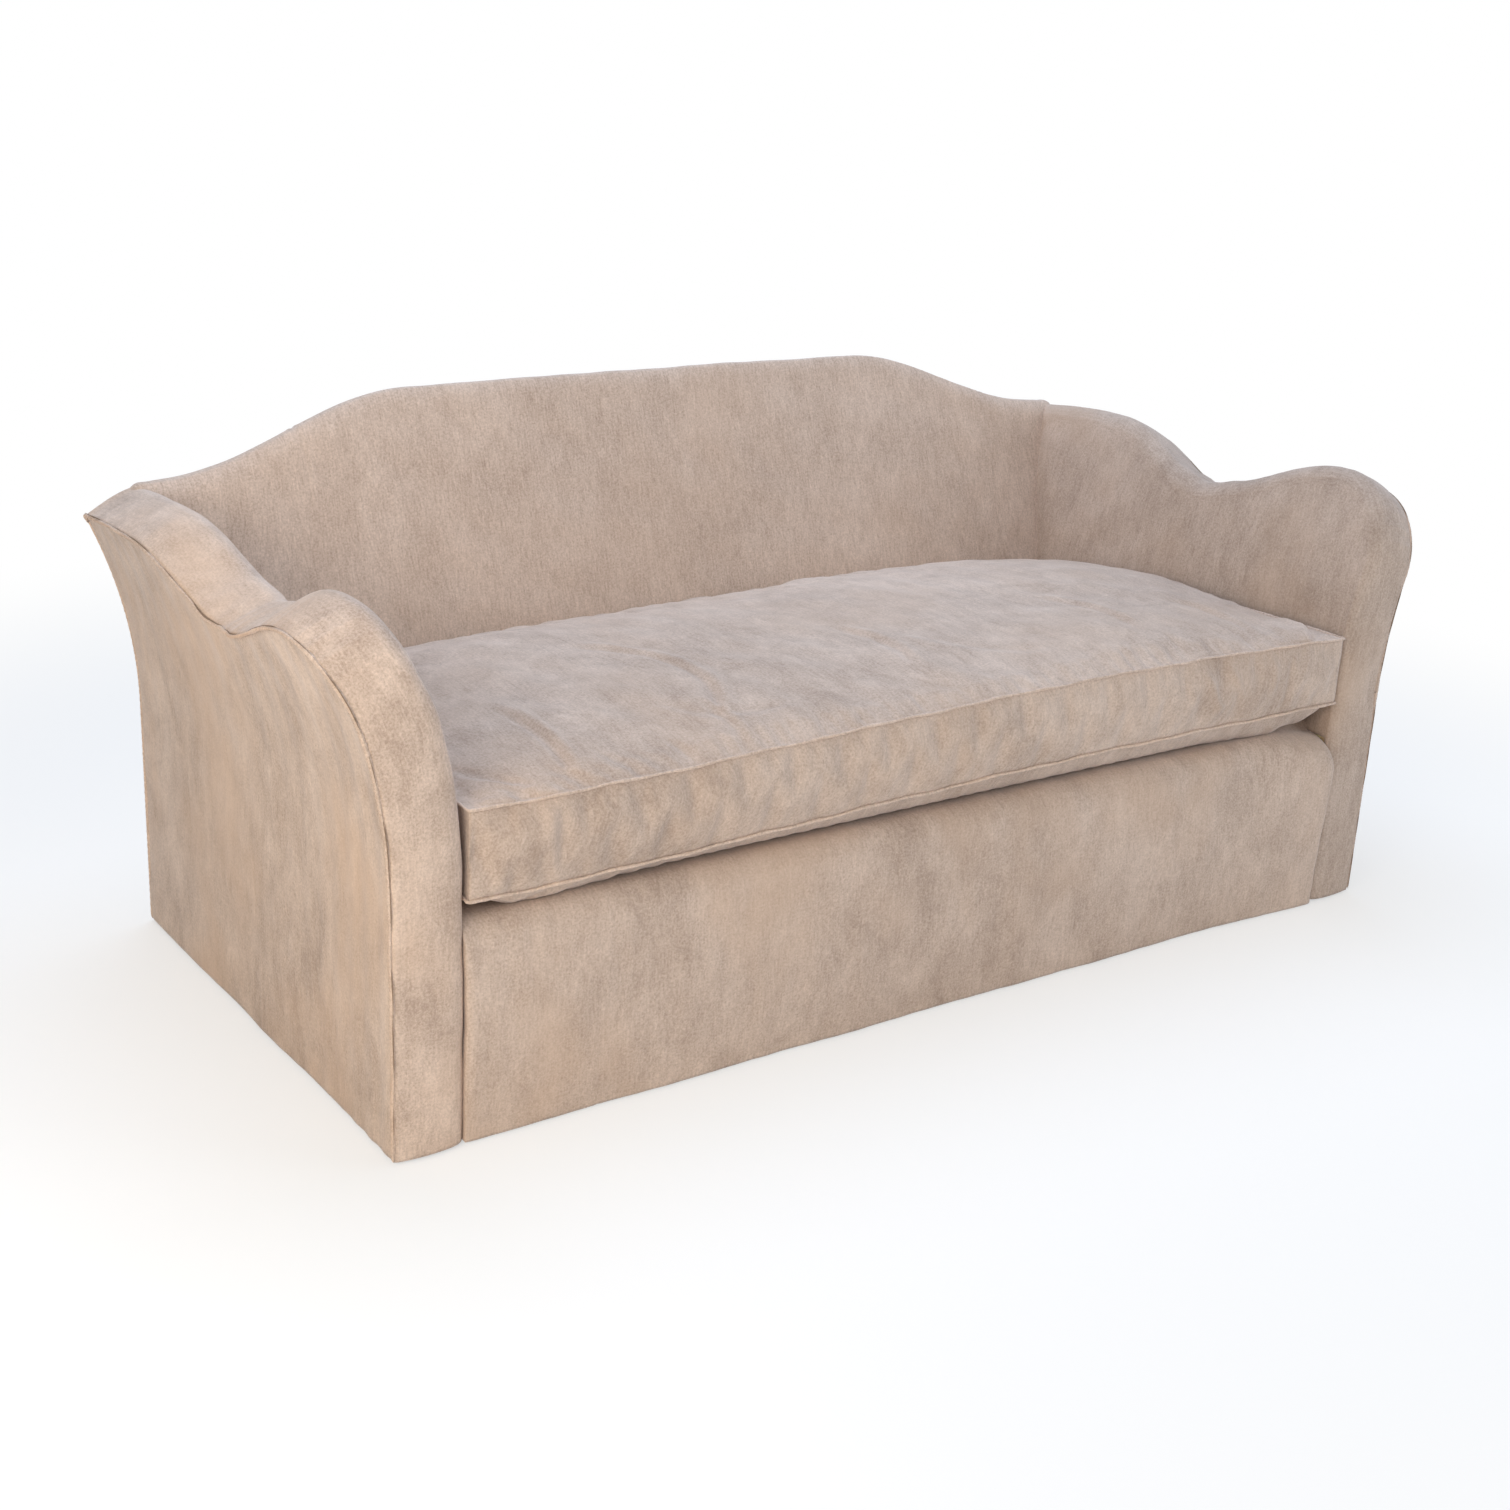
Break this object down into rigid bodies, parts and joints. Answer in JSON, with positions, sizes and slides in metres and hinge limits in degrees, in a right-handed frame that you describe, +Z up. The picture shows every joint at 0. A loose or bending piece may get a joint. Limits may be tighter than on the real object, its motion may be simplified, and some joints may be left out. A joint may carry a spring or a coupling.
{
  "type": "curved sofa",
  "caption": "Camel-back sofa with flared arms that rise in a front and a rear hump, covers that run down to the floor, and a long loose box cushion.",
  "frame": {"origin": "middle of the footprint, on the floor under the glides", "axes": "+X across the sofa, to the right as seen from the front, +Y from the front to the back, +Z up"},
  "size_m": [1.9794, 0.922, 0.8128],
  "materials": {
    "velvet": "crushed pile velvet, warm beige, soft sheen",
    "velvet_cushion": "crushed pile velvet, warm beige, soft sheen",
    "velvet_seam": "hand-sewn velvet seam",
    "deck_cloth": "plain matching lining",
    "dust_cloth": "black non-woven cloth",
    "zip_tape": "woven tape with nylon teeth",
    "zip_metal": "worn brass",
    "feather_fill": "feather-filled ticking",
    "foam": "open-cell foam",
    "wadding": "polyester wadding",
    "backing_board": "stiff fibre board",
    "webbing": "woven jute webbing",
    "hessian": "coarse hessian",
    "spring_steel": "drawn wire",
    "plywood": "birch plywood",
    "glide_plastic": "moulded plastic",
    "timber": "sawn hardwood"
  },
  "bodies": {
    "frame": {"left_outside_arm": "velvet", "right_outside_arm": "velvet", "left_inside_arm": "velvet", "right_inside_arm": "velvet", "left_arm_border": "velvet", "right_arm_border": "velvet", "left_arm_welt": "velvet_seam", "right_arm_welt": "velvet_seam", "inside_back": "velvet", "outside_back": "velvet", "front_panel": "velvet", "deck_cover": "deck_cloth", "dust_cover": "dust_cloth", "left_arm_foam": "foam", "right_arm_foam": "foam", "left_arm_wadding": "wadding", "right_arm_wadding": "wadding", "left_arm_board": "backing_board", "right_arm_board": "backing_board", "back_board": "backing_board", "back_foam": "foam", "front_panel_wadding": "wadding", "front_edge_roll": "foam", "deck_pad": "foam", "deck_hessian": "hessian", "left_arm_webbing": "webbing", "right_arm_webbing": "webbing", "back_webbing": "webbing", "seat_springs": "spring_steel", "spring_clips": "spring_steel", "spring_tie_wires": "spring_steel", "front_seat_rail": "timber", "front_base_rail": "timber", "rail_struts": "timber", "back_seat_rail": "timber", "back_base_rail": "timber", "side_seat_rails": "timber", "side_base_rails": "timber", "left_front_post": "timber", "right_front_post": "timber", "left_back_post": "timber", "right_back_post": "timber", "left_arm_facing": "plywood", "right_arm_facing": "plywood", "left_arm_rail": "timber", "right_arm_rail": "timber", "tack_rails": "timber", "camel_rail": "timber", "back_uprights": "timber", "corner_blocks": "timber", "corner_screws": "spring_steel", "glides": "glide_plastic"},
    "seat_cushion": {"cushion_top_panel": "velvet_cushion", "cushion_boxing": "velvet_cushion", "cushion_bottom_panel": "velvet_cushion", "cushion_core": "feather_fill", "cushion_top_welt": "velvet_seam", "cushion_bottom_welt": "velvet_seam", "cushion_zip": "zip_tape"},
    "zip_pull": {"zip_slider": "zip_metal"}
  },
  "joints": [
    {"name": "cushion_lift", "type": "slide", "parent": "frame", "child": "seat_cushion", "axis": [0, 0, 1], "range_m": [0, 0.35]},
    {"name": "zip_travel", "type": "slide", "parent": "seat_cushion", "child": "zip_pull", "axis": [1, 0, 0], "range_m": [0, 0.6]}
  ]
}
